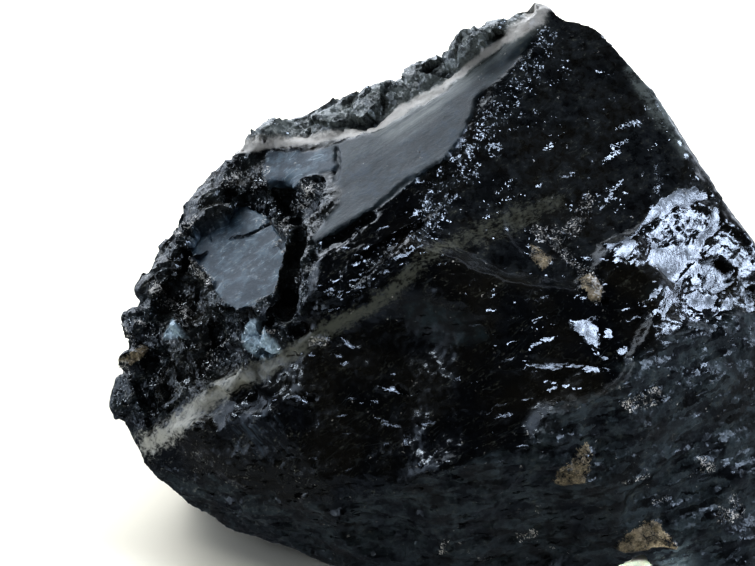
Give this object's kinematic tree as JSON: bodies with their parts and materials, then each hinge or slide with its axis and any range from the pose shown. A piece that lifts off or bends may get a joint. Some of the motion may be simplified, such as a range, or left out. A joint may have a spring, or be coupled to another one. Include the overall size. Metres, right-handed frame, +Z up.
{
  "type": "raw morion quartz",
  "caption": "Broken lump of black, almost opaque quartz with glossy shell-like breaks, a smooth upper face, an etched flank and pale healed veins.",
  "frame": {"origin": "middle of the lump's footprint box, on the level break it stands on", "axes": "+Z up, +X to the right along the lump's length, -Y towards its broad front"},
  "size_m": [0.146, 0.1058, 0.0924],
  "materials": {
    "morion": "glossy broken faces, satin where smooth or mottled, whitish to olive veins"
  },
  "bodies": {
    "root": {"morion_quartz": "morion"}
  },
  "joints": []
}
